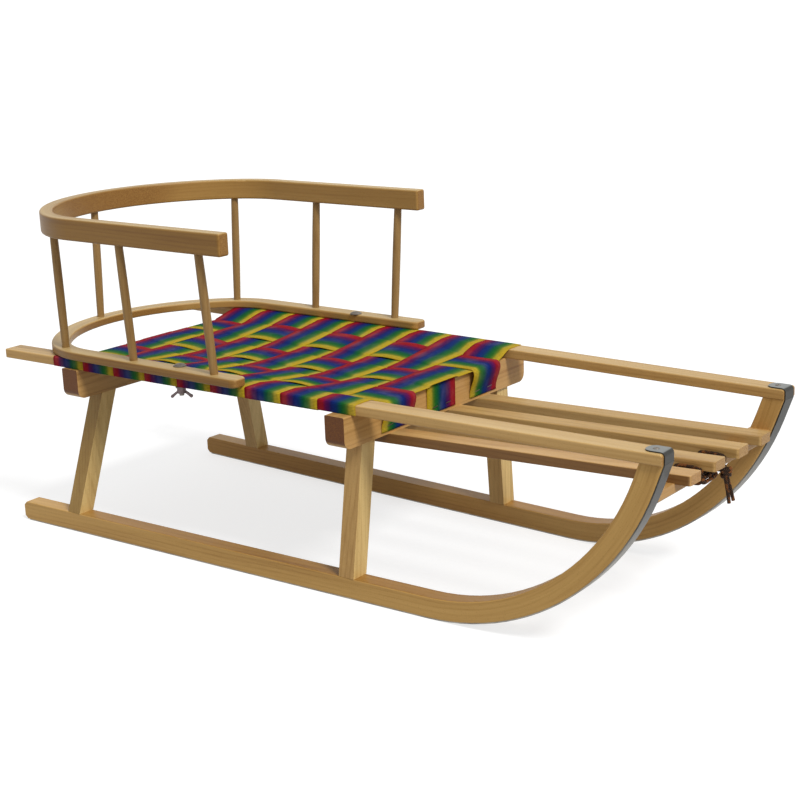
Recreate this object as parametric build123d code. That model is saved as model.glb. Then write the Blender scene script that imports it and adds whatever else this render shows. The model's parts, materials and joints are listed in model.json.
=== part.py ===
from build123d import *
from math import acos, atan, atan2, cos, degrees, hypot, radians, sin, sqrt, tan
import os

# Wooden child's sled with a woven webbing seat and a bent-wood backrest.
# Millimetres. +X is forward, +Y the sled's left, +Z up, and z = 0 is the floor.
# Along X, sizes are measured from the rear end of the runners; the whole sled is
# moved at the end so that the middle of its box stands over the origin.

# Runners: bent from one square stick each, flat on the floor, then swept up.
runner_width = 23.0
runner_height = 24.5
runner_flat = 660.0            # straight length on the floor
runner_radius = 296.0          # underside of the bend
runner_tip_rise = 27.7         # straight end of the runner above its bend, upright
runner_heel = 5.0              # chamfer on the rear corners
runner_rear_y = 187.3          # outer face at the rear end
runner_toe_in = 2.2            # degrees in plan, each runner turned to the middle
runner_ease = 1.3

# Steel shoe under each runner, carried up the front and over the rail's tip.
shoe_width = 20.0
shoe_thickness = 1.5
shoe_tab = 23.0                # length that lies on top of the rail
shoe_setback = 6.0             # bare wood left at the heel
shoe_screw_hole = 4.0

# Side rails, from the handles behind the backrest to the runners' tips.
rail_width = 27.5
rail_height = 12.0
rail_top = 236.0
rail_rear_x = -9.6
rail_rear_y = 184.7            # outer face at the rear end
rail_tip_y = 154.5             # outer face at the front end
rail_tip_round = 3.5
rail_ease = 1.5

# Bolsters: the two upright boards across the sled under the rails.
bolster_thickness = 28.0
bolster_depth = 38.0           # under the rail
bolster_corner = 11.0          # rounding of the lower ends
rear_bolster_x = 116.5
rear_bolster_half = 186.0
front_bolster_x = 553.2
front_bolster_half = 181.0

# Legs, splayed outwards and tenoned into bolster and runner.
leg_thickness = 22.0
leg_width = 24.0
rear_leg_top_x = 113.5
rear_leg_foot_x = 96.5
rear_leg_top_y = 141.0         # outer face at the bolster
front_leg_top_x = 553.0
front_leg_foot_x = 547.5
front_leg_top_y = 147.0
tenon_thickness = 12.0
tenon_width = 13.0
top_tenon = 22.0
foot_tenon = 13.0

# Footrest: four slats from under the front bolster to the crossbar.
slat_count = 4
slat_width = 25.0
slat_gap = 29.3                # at the front
slat_fan = 0.09                # how much further apart, as a share, at the bolster
slat_thickness = 9.8
footrest_rise = 10.9           # from the bolster to the crossbar
slat_round = 3.0               # front corners, in plan
slat_past_bar = 30.0           # from the crossbar's middle to the slats' ends
slat_ease = 1.2
crossbar_depth = 25.0
crossbar_thickness = 12.0
crossbar_ease = 3.0
crossbar_tenon = 9.0
crossbar_tenon_depth = 15.0
crossbar_tenon_thickness = 7.0

# Webbing seat: cross straps round the rails, long straps round the bolsters.
webbing_width = 51.0
webbing_thickness = 1.2
webbing_clearance = 0.3
cross_count = 9
cross_first_x = 110.5
cross_last_x = 546.0
cross_under = 14.0             # length turned in under the rail
long_count = 3
long_pitch = 87.0
long_end_gap = 4.0             # bare wood below the end of a long strap

# Backrest: two bent bows joined by turned spindles.
base_bow_width = 24.0
base_bow_height = 10.6
base_bow_past_rail = 13.0      # how far the arms overhang the rails at the bolts
base_bow_back_x = -20.0
base_bow_bend = 0.8            # depth of the bend and radius of its corners,
base_bow_corner = 0.61         # both as shares of the half width
base_bow_front_x = 409.0
base_bow_end_round = 9.0
top_bow_width = 17.0
top_bow_height = 27.0
top_bow_flare = 11.0           # half width more than the base bow's
top_bow_back_x = -17.5
top_bow_bend = 0.84
top_bow_corner = 0.65
top_bow_front_x = 410.0
top_bow_left_short = 7.0       # the left arm ends this much further back
top_bow_end_round = 3.0
top_bow_top = 421.0
bow_ease = 2.5
spindles_left = ((363.0, 363.5), (222.0, 220.0), (82.0, 83.0))      # x at foot and head
spindles_right = ((366.0, 368.0), (228.0, 234.0), (95.0, 107.0))
spindle_back_foot_y = -18.0
spindle_back_head_y = -12.5
spindle_end_diameter = 9.6
spindle_belly_diameter = 11.0
spindle_in_base = 7.5
spindle_in_top = 14.0
spindle_clearance = 0.1

# Carriage bolts and wing nuts that hold the backrest down on the rails.
bolt_diameter = 6.0
bolt_hole = 6.6
bolt_head_diameter = 16.0
bolt_head_height = 3.6
bolt_head_rim = 0.8
bolt_inset = 4.6               # from the base bow's inner edge
washer_diameter = 14.0
washer_thickness = 1.5
nut_diameter = 11.0
nut_height = 7.0
wing_span = 27.0
wing_drop = 6.0                # how far the wings reach below the nut
wing_thickness = 2.4
wing_turn = 35.0               # degrees in plan
bolt_below_nut = 3.0

# Tow cord, tied round the crossbar between the slats.
cord_diameter = 4.0
cord_layers_front = 6.5        # thickness of the windings before the crossbar
cord_layers_high = 11.5       # their height there
knot_size = 13.0
tail_length = 32.0

os.makedirs("parts", exist_ok=True)

# Heights and plan lines that the pieces share.
floor_to_wood = shoe_thickness
runner_top = floor_to_wood + runner_height
rail_bottom = rail_top - rail_height
bolster_bottom = rail_bottom - bolster_depth
toe_in = radians(runner_toe_in)


def runner_outer_y(x):
    """Outer face of a runner, as a distance from the middle plane."""
    return runner_rear_y - tan(toe_in) * x


# The runner's side outline is drawn in its own upright plane. Its bend turns until
# the straight end above it is the given rise high.
runner_sweep = degrees(acos(1 - (rail_bottom - runner_tip_rise - floor_to_wood) / runner_radius))
bend_end_x = runner_flat + runner_radius * sin(radians(runner_sweep))
bend_end_z = floor_to_wood + runner_radius * (1 - cos(radians(runner_sweep)))
tip_x = bend_end_x + (rail_bottom - bend_end_z) / tan(radians(runner_sweep))
tip_length = runner_height / sin(radians(runner_sweep))
front_x = tip_x * cos(toe_in)
rail_slope = (rail_rear_y - rail_tip_y) / (front_x - rail_rear_x)
rail_turn = degrees(atan(rail_slope))


def rail_outer_y(x):
    """Outer face of a side rail, as a distance from the middle plane."""
    return rail_rear_y - rail_slope * (x - rail_rear_x)


def rail_inner_y(x):
    return rail_outer_y(x) - rail_width / cos(radians(rail_turn))


# Where the webbing lies, and the backrest's bolts in the seam before its fifth strap.
cross_pitch = (cross_last_x - cross_first_x) / (cross_count - 1)
cross_xs = [cross_first_x + cross_pitch * i for i in range(cross_count)]
long_ys = [long_pitch * ((long_count - 1) / 2 - j) for j in range(long_count)]
bolt_x = (cross_xs[3] + cross_xs[4]) / 2
base_bow_half = rail_outer_y(bolt_x) + base_bow_past_rail
top_bow_half = base_bow_half + top_bow_flare
bolt_y = base_bow_half - base_bow_width + bolt_inset


def mirrored(shape):
    """The sled's left piece for a right one, or the other way round."""
    return mirror(shape, about=Plane.XZ)


def block(x0, x1, y0, y1, z0, z1):
    return Pos((x0 + x1) / 2, (y0 + y1) / 2, (z0 + z1) / 2) * Box(x1 - x0, y1 - y0, z1 - z0)


def upright(face, y0, y1):
    """Extrudes an outline drawn in x and z from y0 to y1."""
    return extrude(Plane.XZ.offset(-y0) * face, amount=-(y1 - y0))


def in_runner_plane(shape):
    """Stands a right-hand piece, drawn with its outer face at y = 0, in the runner's plane."""
    return Pos(0, -runner_rear_y, 0) * Rot(0, 0, runner_toe_in) * shape


def in_rail_line(shape):
    """Lays a right-hand piece, drawn from the rail's rear outer corner, along the rail."""
    return Pos(rail_rear_x, -rail_rear_y, 0) * Rot(0, 0, rail_turn) * shape


def swept_outline(inner_offset, outer_offset, start_x, end_z):
    """Side outline of a runner or shoe, between two offsets from the wood's underside."""
    turn = radians(runner_sweep)
    centre = Vector(runner_flat, floor_to_wood + runner_radius)

    def side(offset):
        radius = runner_radius - offset
        foot = Vector(runner_flat, floor_to_wood + offset)
        half = centre + Vector(radius * sin(turn / 2), -radius * cos(turn / 2))
        top = centre + Vector(radius * sin(turn), -radius * cos(turn))
        rise = end_z - top.Y
        return foot, half, top, top + Vector(rise / tan(turn), rise)

    low = side(outer_offset)
    high = side(inner_offset)
    start_low = Vector(start_x, low[0].Y)
    start_high = Vector(start_x, high[0].Y)
    edges = [
        Line(start_low, low[0]),
        ThreePointArc(low[0], low[1], low[2]),
        Line(low[2], low[3]),
        Line(low[3], high[3]),
        Line(high[3], high[2]),
        ThreePointArc(high[2], high[1], high[0]),
        Line(high[0], start_high),
        Line(start_high, start_low),
    ]
    return make_face(edges)


# Legs: a skewed prism between bolster and runner with a tenon at each end.
def leg_solid(top_x, foot_x, top_y):
    foot_y = runner_outer_y(foot_x)
    rise = bolster_bottom - runner_top
    lean_x = (top_x - foot_x) / rise
    lean_y = (foot_y - top_y) / rise
    foot = Vector(foot_x, -foot_y + leg_width / 2, runner_top)

    def prism(size_x, size_y, z0, z1):
        base = Vector(foot.X + lean_x * (z0 - runner_top), foot.Y + lean_y * (z0 - runner_top), z0)
        outline = Pos(base.X, base.Y, base.Z) * Rectangle(size_x, size_y)
        way = Vector(lean_x, lean_y, 1)
        return extrude(outline, amount=way.length * (z1 - z0), dir=way.normalized())

    body = prism(leg_thickness, leg_width, runner_top, bolster_bottom)
    upper = prism(tenon_thickness, tenon_width, bolster_bottom, bolster_bottom + top_tenon)
    lower = prism(tenon_thickness, tenon_width, runner_top - foot_tenon, runner_top)
    return body + upper + lower


rear_leg = leg_solid(rear_leg_top_x, rear_leg_foot_x, rear_leg_top_y)
front_leg = leg_solid(front_leg_top_x, front_leg_foot_x, front_leg_top_y)

# Runner with its mortises.
heel = runner_heel
runner_shape = swept_outline(runner_height, 0.0, 0.0, rail_bottom)
runner = upright(runner_shape, 0.0, runner_width)
heel_edges = [e for e in runner.edges().filter_by(Axis.Y) if e.center().X < 1.0]
runner = chamfer(heel_edges, heel)
long_edges = [e for e in runner.edges() if e.bounding_box().size.X > runner_height * 3]
runner = fillet(long_edges, runner_ease)
runner = in_runner_plane(runner) - rear_leg - front_leg

# Side rail, its front end cut square to the runner and rounded on top.
rail = block(0.0, front_x * 1.05, 0.0, rail_width, rail_bottom, rail_top)
rail_length_edges = rail.edges().filter_by(Axis.X)
rail = in_rail_line(fillet(rail_length_edges, rail_ease))
rail_keep = block(2 * rail_rear_x, tip_x, -rail_width, 2 * rail_width, rail_bottom, rail_top)
rail_nose = [e for e in rail_keep.edges().filter_by(Axis.Y) if e.center().X > 0 and e.center().Z > rail_bottom + 1]
rail = rail & in_runner_plane(fillet(rail_nose, rail_tip_round))

# Steel shoe: under the runner, up the bend, over the rail's end and back on its top.
shoe_y0 = (runner_width - shoe_width) / 2
shoe_run = swept_outline(0.0, -shoe_thickness, shoe_setback, rail_bottom)
nose_outer = rail_tip_round + shoe_thickness
over_top = make_face([
    Line((tip_x, rail_bottom), (tip_x, rail_top - rail_tip_round)),
    RadiusArc((tip_x, rail_top - rail_tip_round), (tip_x - rail_tip_round, rail_top), -rail_tip_round),
    Line((tip_x - rail_tip_round, rail_top), (tip_x - shoe_tab, rail_top)),
    Line((tip_x - shoe_tab, rail_top), (tip_x - shoe_tab, rail_top + shoe_thickness)),
    Line((tip_x - shoe_tab, rail_top + shoe_thickness), (tip_x - rail_tip_round, rail_top + shoe_thickness)),
    RadiusArc((tip_x - rail_tip_round, rail_top + shoe_thickness),
              (tip_x + shoe_thickness, rail_top - rail_tip_round), nose_outer),
    Line((tip_x + shoe_thickness, rail_top - rail_tip_round), (tip_x + shoe_thickness, rail_bottom)),
    Line((tip_x + shoe_thickness, rail_bottom), (tip_x, rail_bottom)),
])
shoe = upright(shoe_run, shoe_y0, shoe_y0 + shoe_width) + upright(over_top, shoe_y0, shoe_y0 + shoe_width)
tab_edges = [e for e in shoe.edges().filter_by(Axis.Z) if e.center().Z > rail_top]
tab_end = [e for e in tab_edges if e.center().X < tip_x - shoe_tab + 1]
shoe = fillet(tab_end, shoe_width * 0.42)
screw_x = tip_x - shoe_tab + shoe_width * 0.5
shoe -= Pos(screw_x, shoe_y0 + shoe_width / 2, rail_top) * Cylinder(shoe_screw_hole / 2, 4 * shoe_thickness)
shoe = in_runner_plane(shoe)


# Bolsters: flush under the rails, mortised for the legs.
def bolster_solid(centre_x, half, leg):
    back = centre_x - bolster_thickness / 2
    board = block(back, back + bolster_thickness, -half, half, bolster_bottom, rail_bottom)
    corners = [e for e in board.edges().filter_by(Axis.X) if e.center().Z < bolster_bottom + 1]
    board = fillet(corners, bolster_corner)
    faces = [e for e in board.edges().filter_by(Axis.Y) if e.center().Z > rail_bottom - 1]
    board = fillet(faces, rail_ease)
    return board - leg - mirrored(leg)


rear_bolster = bolster_solid(rear_bolster_x, rear_bolster_half, rear_leg)
front_bolster = bolster_solid(front_bolster_x, front_bolster_half, front_leg)

# Footrest slats, rising to the front, let a little into the bolster's underside.
bolster_back_x = front_bolster_x - bolster_thickness / 2
bolster_face_x = front_bolster_x + bolster_thickness / 2
bar_middle = bolster_bottom + footrest_rise - slat_thickness - crossbar_thickness / 2
bend_middle_z = floor_to_wood + runner_radius
bend_middle_radius = runner_radius - runner_height / 2
crossbar_x = (runner_flat + sqrt(bend_middle_radius**2 - (bend_middle_z - bar_middle) ** 2)) * cos(toe_in)
slat_turn = atan2(footrest_rise, crossbar_x - bolster_back_x)
slat_front_x = crossbar_x + slat_past_bar
slat_run = slat_front_x - bolster_back_x
slat_pitch = slat_width + slat_gap
slat_end_z = bolster_bottom + tan(slat_turn) * slat_run
slat_deep = slat_thickness / cos(slat_turn)
slat_side_outline = make_face(Polyline(
    (bolster_back_x, bolster_bottom), (slat_front_x, slat_end_z),
    (slat_front_x, slat_end_z - slat_deep), (bolster_back_x, bolster_bottom - slat_deep), close=True))
footrest_layer = upright(slat_side_outline, -runner_rear_y, runner_rear_y)


def slat_solid(front_y):
    """One slat; all lie in the same sloping layer, spread a little to the bolster."""
    rear_y = front_y * (1 + slat_fan)
    half = slat_width / 2
    plan = make_face(Polyline(
        (bolster_back_x, rear_y - half), (slat_front_x, front_y - half),
        (slat_front_x, front_y + half), (bolster_back_x, rear_y + half), close=True))
    plan = fillet([v for v in plan.vertices() if v.X > slat_front_x - 1], slat_round)
    board = extrude(plan, amount=rail_top) & footrest_layer
    long_sides = [e for e in board.edges() if e.bounding_box().size.X > slat_run / 2]
    return fillet(long_sides, slat_ease)


slats = []
for i in range(slat_count):
    slats.append(slat_solid(slat_pitch * ((slat_count - 1) / 2 - i)))
for slat in slats:
    front_bolster -= slat

# Crossbar under the slats' front ends, tenoned into both runners.
slope = tan(slat_turn)
crossbar_back = crossbar_x - crossbar_depth / 2
crossbar_front = crossbar_x + crossbar_depth / 2
under_back = bolster_bottom + slope * (crossbar_back - bolster_back_x) - slat_thickness / cos(slat_turn)
under_front = under_back + slope * crossbar_depth
bar_profile = make_face(Polyline(
    (crossbar_back, under_back), (crossbar_front, under_front),
    (crossbar_front, under_front - crossbar_thickness), (crossbar_back, under_back - crossbar_thickness),
    close=True))
crossbar = upright(bar_profile, -runner_rear_y, runner_rear_y)
bar_edges = [e for e in crossbar.edges().filter_by(Axis.Y) if e.center().Z < under_back - 1]
crossbar = fillet(bar_edges, crossbar_ease)
past_runner = in_runner_plane(block(0, 1.2 * front_x, -runner_rear_y, runner_width, 0, rail_top))
crossbar = crossbar - past_runner - mirrored(past_runner)
bar_reach = runner_outer_y(crossbar_x) - runner_width + crossbar_tenon
bar_tenon = Pos(crossbar_x, 0, bar_middle) * Box(crossbar_tenon_depth, 2 * bar_reach, crossbar_tenon_thickness)
crossbar += bar_tenon
runner -= bar_tenon


# Webbing. A strap is a band of one thickness along a line of points.
def band(points, thickness):
    """Face of a strip with mitred corners, half its thickness to each side of the points."""
    sides = ([], [])
    count = len(points)
    for i, (px, pz) in enumerate(points):
        before = points[max(i - 1, 0)]
        after = points[min(i + 1, count - 1)]
        dirs = []
        for (ax, az), (bx, bz) in ((before, (px, pz)), ((px, pz), after)):
            run = hypot(bx - ax, bz - az)
            if run > 0:
                dirs.append(((bx - ax) / run, (bz - az) / run))
        nx = -sum(d[1] for d in dirs)
        nz = sum(d[0] for d in dirs)
        size = hypot(nx, nz)
        nx, nz = nx / size, nz / size
        reach = thickness / 2 / (nx * -dirs[0][1] + nz * dirs[0][0])
        sides[0].append((px + nx * reach, pz + nz * reach))
        sides[1].append((px - nx * reach, pz - nz * reach))
    return make_face(Polyline(*sides[0], *reversed(sides[1]), close=True))


lift = (webbing_thickness + webbing_clearance) / 2
seat_z = rail_top + webbing_thickness / 2
woven_z = rail_bottom + webbing_clearance + webbing_thickness / 2 + lift    # the weave lies on the bolsters


def long_is_over(i, j):
    """Plain weave: the outer long straps pass over the first and last cross strap."""
    return (i + j) % 2 == 0


bolt_hole_tool = Pos(bolt_x, -bolt_y, rail_top) * Cylinder(bolt_hole / 2, 6 * rail_height)
rail -= bolt_hole_tool


def rail_wrap(x0, x1, under):
    """The strap's turn round the right-hand rail."""
    t = webbing_thickness
    reach = front_x * 1.05
    low = rail_bottom - t if under else rail_bottom + webbing_clearance
    wrap = block(0, reach, -t, rail_width, rail_top, rail_top + t)
    wrap += block(0, reach, -t, 0, low, rail_top + t)
    if under:
        wrap += block(0, reach, -t, under, rail_bottom - t, rail_bottom)
    return in_rail_line(wrap) & block(x0, x1, -2 * rail_rear_y, 0, 0, 2 * rail_top)


def cross_strap(i):
    x0 = cross_xs[i] - webbing_width / 2
    x1 = cross_xs[i] + webbing_width / 2
    flat = webbing_width / 2 + 2 * webbing_clearance
    edge = rail_inner_y(x1) - webbing_clearance
    points = [(edge + rail_width / 2, seat_z), (edge, seat_z)]
    for j in range(long_count):
        z = woven_z + (-lift if long_is_over(i, j) else lift)
        points += [(long_ys[j] + flat, z), (long_ys[j] - flat, z)]
    points += [(-edge, seat_z), (-edge - rail_width / 2, seat_z)]
    face = band(points, webbing_thickness)
    middle = extrude(Plane.YZ.offset(x0) * face, amount=webbing_width)
    reach = (webbing_width + bolster_thickness) / 2
    near_board = any(abs(cross_xs[i] - b) < reach for b in (rear_bolster_x, front_bolster_x))
    wrap = rail_wrap(x0, x1, 0 if near_board else cross_under)
    return middle + wrap + mirrored(wrap)


def long_strap(j):
    t = webbing_thickness
    y0 = long_ys[j] - webbing_width / 2
    first_edge = cross_xs[0] - webbing_width / 2 - webbing_clearance - t
    last_edge = cross_xs[-1] + webbing_width / 2
    back_x = rear_bolster_x - bolster_thickness / 2 - webbing_clearance - t / 2
    face_x = max(bolster_face_x, last_edge) + webbing_clearance + t / 2
    foot_z = bolster_bottom + long_end_gap
    first_z = woven_z + (lift if long_is_over(0, j) else -lift)
    points = [(back_x, foot_z), (back_x, rail_bottom - 2 * t), (first_edge, rail_bottom - 2 * t)]
    if long_is_over(0, j):
        points += [(first_edge, first_z)]
    for i in range(cross_count):
        z = woven_z + (lift if long_is_over(i, j) else -lift)
        start = cross_xs[i] - webbing_width / 2
        if i == 0 and long_is_over(0, j):
            points += [(cross_xs[i] + webbing_width / 2, z)]
        else:
            points += [(start, z), (cross_xs[i] + webbing_width / 2, z)]
    last_z = points[-1][1]
    points += [(face_x, last_z), (face_x, foot_z)]
    return upright(band(points, t), y0, y0 + webbing_width)


crosses = [cross_strap(i) for i in range(cross_count)]
longs = [long_strap(j) for j in range(long_count)]
for i in (3, 4):
    crosses[i] = crosses[i] - bolt_hole_tool - mirrored(bolt_hole_tool)


# Backrest bows: straight arms, tighter shoulders and one long arc behind.
def bow_plan(half, back_x, bend_x, corner, end_x):
    depth = bend_x - back_x
    back_radius = (depth**2 + half**2 - 2 * half * corner) / (2 * (depth - corner))
    turn = atan2(half - corner, back_x + back_radius - bend_x)
    middle = back_x + back_radius
    join = Vector(middle - back_radius * cos(turn), back_radius * sin(turn))
    swing = (turn + radians(90)) / 2
    mid = Vector(bend_x - corner * cos(swing), half - corner + corner * sin(swing))
    edges = [Line((end_x, half), (bend_x, half))]
    edges += [ThreePointArc((bend_x, half), mid, join)]
    edges += [ThreePointArc(join, (back_x, 0), (join.X, -join.Y))]
    edges += [ThreePointArc((join.X, -join.Y), (mid.X, -mid.Y), (bend_x, -half))]
    edges += [Line((bend_x, -half), (end_x, -half)), Line((end_x, -half), (end_x, half))]
    return make_face(edges)


def bow_solid(half, width, height, back_x, bend_x, corner, end_x, end_round, bottom, left_short=0.0):
    outer = bow_plan(half, back_x, bend_x, corner, end_x)
    inner = bow_plan(half - width, back_x + width, bend_x, corner - width, end_x + width)
    bow = Pos(0, 0, bottom) * extrude(outer - inner, amount=height)
    if left_short > 0:
        bow -= block(end_x - left_short, end_x + width, 0, 2 * half, bottom - 1, bottom + height + 1)
    ends = [e for e in bow.edges().filter_by(Axis.Z) if e.center().X > end_x - left_short - 0.01]
    bow = fillet(ends, end_round)
    return fillet(bow.edges().filter_by(lambda e: e.bounding_box().size.Z < 0.01), bow_ease)


def bow_line(half, width, back_x, bend_x, corner, x):
    """Half width of a bow's middle line at a place x, measured from the middle plane."""
    h = half - width / 2
    b = back_x + width / 2
    c = corner - width / 2
    depth = bend_x - b
    back_radius = (depth**2 + h**2 - 2 * h * c) / (2 * (depth - c))
    middle = b + back_radius
    turn = atan2(h - c, middle - bend_x)
    if x >= bend_x:
        return h
    if x > middle - back_radius * cos(turn):
        return h - c + sqrt(c**2 - (bend_x - x) ** 2)
    return sqrt(max(back_radius**2 - (middle - x) ** 2, 0.0))


base_bow_bottom = rail_top + webbing_thickness
base_bow_top = base_bow_bottom + base_bow_height
top_bow_bottom = top_bow_top - top_bow_height
base_bow_bend_x = base_bow_back_x + base_bow_bend * base_bow_half
top_bow_bend_x = top_bow_back_x + top_bow_bend * top_bow_half
base_corner = base_bow_corner * base_bow_half
top_corner = top_bow_corner * top_bow_half
base_bow = bow_solid(base_bow_half, base_bow_width, base_bow_height, base_bow_back_x, base_bow_bend_x,
                     base_corner, base_bow_front_x, base_bow_end_round, base_bow_bottom)
top_bow = bow_solid(top_bow_half, top_bow_width, top_bow_height, top_bow_back_x, top_bow_bend_x,
                    top_corner, top_bow_front_x, top_bow_end_round, top_bow_bottom, top_bow_left_short)
base_bow = base_bow - bolt_hole_tool - mirrored(bolt_hole_tool)


# Spindles: turned, thickest at the middle, let into blind holes in both bows.
def spindle_solid(foot, head, clearance=0.0):
    way = head - foot
    unit = way.normalized()
    low = foot - unit * (spindle_in_base / unit.Z)
    high = head + unit * (spindle_in_top / unit.Z)
    length = (high - low).length
    end_r = spindle_end_diameter / 2 + clearance
    belly_r = spindle_belly_diameter / 2 + clearance
    side = make_face([
        Line((0, 0), (end_r, 0)),
        ThreePointArc((end_r, 0), (belly_r, length / 2), (end_r, length)),
        Line((end_r, length), (0, length)),
        Line((0, length), (0, 0)),
    ])
    body = revolve(Plane.XZ * side, Axis.Z)
    return Plane(origin=low, z_dir=unit) * body


spindle_ends = []
for side, row in ((1, spindles_left), (-1, spindles_right)):
    for foot_x, head_x in row:
        foot_y = bow_line(base_bow_half, base_bow_width, base_bow_back_x, base_bow_bend_x, base_corner, foot_x)
        head_y = bow_line(top_bow_half, top_bow_width, top_bow_back_x, top_bow_bend_x, top_corner, head_x)
        foot = Vector(foot_x, side * foot_y, base_bow_top)
        head = Vector(head_x, side * head_y, top_bow_bottom)
        spindle_ends.append((foot, head))
back_foot = Vector(base_bow_back_x + base_bow_width / 2, spindle_back_foot_y, base_bow_top)
back_head = Vector(top_bow_back_x + top_bow_width / 2, spindle_back_head_y, top_bow_bottom)
spindle_ends.append((back_foot, back_head))
spindles = [spindle_solid(low, high) for low, high in spindle_ends]
for low, high in spindle_ends:
    hole = spindle_solid(low, high, spindle_clearance)
    base_bow -= hole
    top_bow -= hole

# Carriage bolt: low dome, shank through bow and rail.
nut_top = rail_bottom - webbing_thickness - washer_thickness
bolt_end = nut_top - nut_height - bolt_below_nut
head_r = bolt_head_diameter / 2
dome_rise = bolt_head_height - bolt_head_rim
dome_radius = (head_r**2 + dome_rise**2) / (2 * dome_rise)
rim_top = base_bow_top + bolt_head_rim
dome = Pos(0, 0, rim_top + dome_rise - dome_radius) * Sphere(dome_radius)
dome &= block(-head_r, head_r, -head_r, head_r, rim_top, rim_top + dome_rise)
bolt = Pos(0, 0, base_bow_top + bolt_head_rim / 2) * Cylinder(head_r, bolt_head_rim)
bolt += Pos(0, 0, (bolt_end + base_bow_top) / 2) * Cylinder(bolt_diameter / 2, base_bow_top - bolt_end)
bolt = Pos(bolt_x, -bolt_y, 0) * (bolt + dome)

# Wing nut with its washer under the rail; the wings point down and out.
wing_root = nut_diameter / 2 - 1.0
wing_tip = wing_span / 2
wing_outline = make_face([
    Line((wing_root, nut_top - nut_height * 0.5), (wing_tip - 2.0, nut_top - nut_height - 2.0)),
    ThreePointArc((wing_tip - 2.0, nut_top - nut_height - 2.0), (wing_tip, nut_top - nut_height - 4.5),
                  (wing_tip - 2.5, nut_top - nut_height - wing_drop)),
    Line((wing_tip - 2.5, nut_top - nut_height - wing_drop), (wing_root, nut_top - nut_height)),
    Line((wing_root, nut_top - nut_height), (wing_root, nut_top - nut_height * 0.5)),
])
wing = upright(wing_outline, -wing_thickness / 2, wing_thickness / 2)
nut = Pos(0, 0, nut_top - nut_height / 2) * Cylinder(nut_diameter / 2, nut_height)
nut += Pos(0, 0, nut_top + washer_thickness / 2) * Cylinder(washer_diameter / 2, washer_thickness)
nut = nut + wing + mirror(wing, about=Plane.YZ)
nut -= Pos(0, 0, nut_top) * Cylinder(bolt_diameter / 2 + spindle_clearance, 6 * nut_height)
nut = Pos(bolt_x, -bolt_y, 0) * Rot(0, 0, wing_turn) * nut

# Tow cord: windings hug the crossbar under the third slat and pass over it beside the slat.
bar_low = under_back - crossbar_thickness
wind_x0 = crossbar_back - cord_diameter
wind_x1 = crossbar_front + cord_layers_front
wind_z0 = bar_low - cord_diameter
wind_z1 = wind_z0 + cord_layers_high
slat_side = slat_gap / 2 - webbing_clearance
wind_y0 = -slat_pitch + slat_side - cord_diameter
wind_y1 = -slat_side + 2 * cord_diameter
wind = block(wind_x0, wind_x1, wind_y0, wind_y1, wind_z0, wind_z1)
wind += block(wind_x0, crossbar_front + cord_diameter, wind_y1, slat_side, wind_z0, wind_z1)
for y0, y1 in ((wind_y0, wind_y0 + cord_diameter), (-slat_side, wind_y1), (slat_side - cord_diameter, slat_side)):
    wind += block(wind_x0, crossbar_front + cord_diameter, y0, y1, wind_z0, under_front + cord_diameter)
wind_edges = [e for e in wind.edges().filter_by(Axis.Y) if e.center().Z < wind_z0 + 1]
wind = fillet(wind_edges, cord_diameter * 0.6)
wind -= upright(bar_profile, wind_y0 - slat_gap, slat_side + slat_gap)

knot_x = crossbar_front + cord_diameter + knot_size / 2 + webbing_clearance
knot_y = wind_y1 + knot_size / 2 + webbing_clearance
knot_z = wind_z0 + knot_size * 0.35
knot = Pos(knot_x, knot_y, knot_z) * Sphere(knot_size / 2)


def tail_route(side, spread, reach):
    """A cord end that leaves the knot and hangs a little forward, its turns spread along it."""
    beside = side * (cord_diameter / 2 + webbing_clearance)
    start = Vector(knot_x, knot_y + beside, knot_z - knot_size / 2 - webbing_clearance)
    return [
        start,
        start + Vector(1.6, spread * 0.25, -reach * 0.3),
        start + Vector(4.4, spread * 0.6, -reach * 0.65),
        start + Vector(9.0, spread, -reach),
    ]


def tube(route):
    radii = []
    for before, at, after in zip(route, route[1:], route[2:]):
        turn = (at - before).get_angle(after - at)
        run = min((at - before).length, (after - at).length)
        radii.append(0.45 * run / tan(radians(turn / 2)))
    path = FilletPolyline(*route, radius=radii)
    print("cord radii", [round(r, 1) for r in radii], "length", round(path.length, 1))
    plane = Plane(origin=path @ 0, z_dir=path % 0)
    return sweep(plane * Circle(cord_diameter / 2), path=path)


tail_a = tube(tail_route(-1, 3.0, tail_length))
tail_b = tube(tail_route(1, 8.0, tail_length * 0.93))

# Everything moves back so that the sled's box stands over the origin.
rear_end = min(base_bow_back_x, top_bow_back_x, rail_rear_x)
shift = -(rear_end + front_x + shoe_thickness) / 2
solids = {
    "runner_right": runner,
    "runner_left": mirrored(runner),
    "runner_shoe_right": shoe,
    "runner_shoe_left": mirrored(shoe),
    "side_rail_right": rail,
    "side_rail_left": mirrored(rail),
    "rear_bolster": rear_bolster,
    "front_bolster": front_bolster,
    "leg_rear_right": rear_leg,
    "leg_rear_left": mirrored(rear_leg),
    "leg_front_right": front_leg,
    "leg_front_left": mirrored(front_leg),
    "crossbar": crossbar,
    "backrest_base_bow": base_bow,
    "backrest_top_bow": top_bow,
    "bolt_right": bolt,
    "bolt_left": mirrored(bolt),
    "wing_nut_right": nut,
    "wing_nut_left": mirrored(nut),
    "tow_cord_windings": wind,
    "tow_cord_knot": knot,
    "tow_cord_tail_1": tail_a,
    "tow_cord_tail_2": tail_b,
}
for i, slat in enumerate(slats):
    solids[f"slat_{i + 1}"] = slat
for i, strap in enumerate(crosses):
    solids[f"cross_strap_{i + 1}"] = strap
for j, strap in enumerate(longs):
    solids[f"long_strap_{j + 1}"] = strap
for i, spindle in enumerate(spindles):
    solids[f"spindle_{i + 1}"] = spindle

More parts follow.
